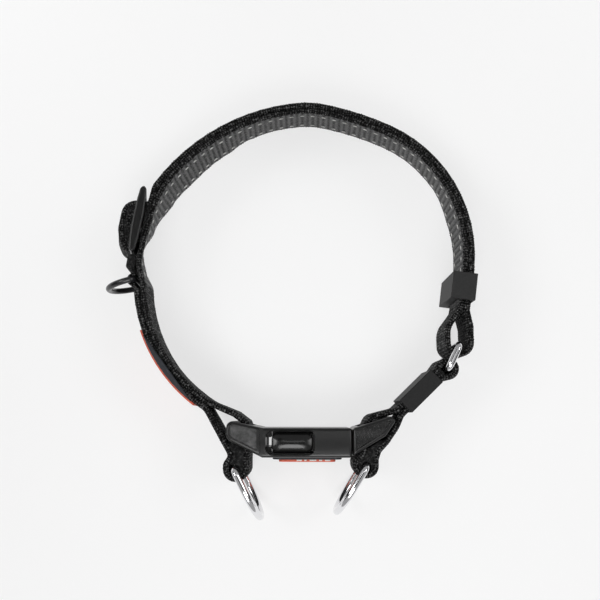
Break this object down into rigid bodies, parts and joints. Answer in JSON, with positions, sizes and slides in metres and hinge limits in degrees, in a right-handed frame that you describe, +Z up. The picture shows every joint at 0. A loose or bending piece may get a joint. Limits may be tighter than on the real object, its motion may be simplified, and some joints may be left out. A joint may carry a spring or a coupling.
{
  "type": "dog training collar",
  "caption": "Adjustable webbing dog training collar with a contoured side-release buckle, two steel leash rings, a tag ring, a slide adjuster and a rubber keeper, closed and standing on edge",
  "frame": {"origin": "Under the middle of the buckle's housing, on the surface that the collar stands on", "axes": "+X from the buckle's socket to its plug, +Y from the buckle across the neck opening, +Z up along the strap's width"},
  "size_m": [0.1606, 0.1783, 0.032],
  "materials": {
    "buckle_plastic": "moulded acetal, fine spark-eroded texture with polished raised rims",
    "prong_plastic": "moulded acetal, polished",
    "badge_dark": "soft moulded PVC, satin",
    "badge_coral": "soft moulded PVC, satin, with plain raised bars and no lettering",
    "ring_steel": "welded steel wire, polished and nickel plated",
    "tag_ring_black": "steel wire, black electroplate, glossy",
    "keeper_rubber": "moulded rubber, satin",
    "sleeve_rubber": "moulded rubber, satin",
    "webbing_black": "woven polyester webbing, black, braided look at the edges",
    "webbing_ribbed": "woven webbing with grey rubber ribs across the neck side and short reflective dashes"
  },
  "bodies": {
    "socket_side": {"buckle_socket": "buckle_plastic", "buckle_badge_base": "badge_dark", "buckle_badge_face": "badge_coral", "left_strap_inner": "webbing_black", "left_strap_outer": "webbing_black", "left_ring_loop": "webbing_black", "strap_badge_base": "badge_dark", "strap_badge_face": "badge_coral", "tag_ring_tape": "webbing_black", "slide_frame": "buckle_plastic", "slide_bar_loop": "webbing_black", "slide_stop_tab": "webbing_black", "neck_strap_outer_left": "webbing_black", "neck_strap_inner_left": "webbing_ribbed"},
    "plug_side": {"buckle_plug": "buckle_plastic", "neck_strap_outer_right": "webbing_black", "neck_strap_inner_right": "webbing_ribbed", "neck_strap_link_loop": "webbing_ribbed", "right_strap_inner": "webbing_black", "right_strap_outer": "webbing_black", "right_strap_link_fold": "webbing_black", "right_plug_branch": "webbing_black", "right_ring_loop": "webbing_black", "rubber_sleeve": "sleeve_rubber"},
    "prong_upper": {"prong_upper": "prong_plastic"},
    "prong_lower": {"prong_lower": "prong_plastic"},
    "left_ring": {"left_ring": "ring_steel"},
    "right_ring": {"right_ring": "ring_steel"},
    "tag_ring": {"tag_ring": "tag_ring_black"},
    "link_ring": {"link_ring": "ring_steel"},
    "rubber_keeper": {"rubber_keeper": "keeper_rubber"}
  },
  "joints": [
    {"name": "collar_opening", "type": "hinge", "parent": "socket_side", "child": "plug_side", "pos_m": [-0.00265, 0.14555, 0.016], "axis": [0, 0, 1], "range_deg": [0, 25], "deforming": ["prong_upper", "prong_lower"]},
    {"name": "prong_upper_squeeze", "type": "hinge", "parent": "plug_side", "child": "prong_upper", "pos_m": [0.0072, 0.0003, 0.02695], "axis": [0, -1, 0], "range_deg": [0, 12], "stiffness_Nm_per_rad": 0.6},
    {"name": "prong_lower_squeeze", "type": "hinge", "parent": "plug_side", "child": "prong_lower", "pos_m": [0.0072, 0.0003, 0.00505], "axis": [0, 1, 0], "range_deg": [0, 12], "stiffness_Nm_per_rad": 0.6},
    {"name": "left_ring_swing", "type": "hinge", "parent": "socket_side", "child": "left_ring", "pos_m": [-0.0408, -0.0106, 0.016], "axis": [0, 0, 1], "range_deg": [-75, 50]},
    {"name": "right_ring_swing", "type": "hinge", "parent": "plug_side", "child": "right_ring", "pos_m": [0.0133, -0.0093, 0.016], "axis": [0, 0, 1], "range_deg": [-40, 80]},
    {"name": "tag_ring_swing", "type": "hinge", "parent": "socket_side", "child": "tag_ring", "pos_m": [-0.085, 0.0686, 0.016], "axis": [0, 0, 1], "range_deg": [-45, 45]},
    {"name": "link_ring_swing", "type": "hinge", "parent": "plug_side", "child": "link_ring", "pos_m": [0.04736, 0.03062, 0.016], "axis": [0, 0, 1], "range_deg": [-5, 8]},
    {"name": "keeper_travel", "type": "hinge", "parent": "plug_side", "child": "rubber_keeper", "pos_m": [-0.0899, 0.08486, 0.016], "axis": [0, 0, 1], "range_deg": [-0.9, 2.2]}
  ]
}
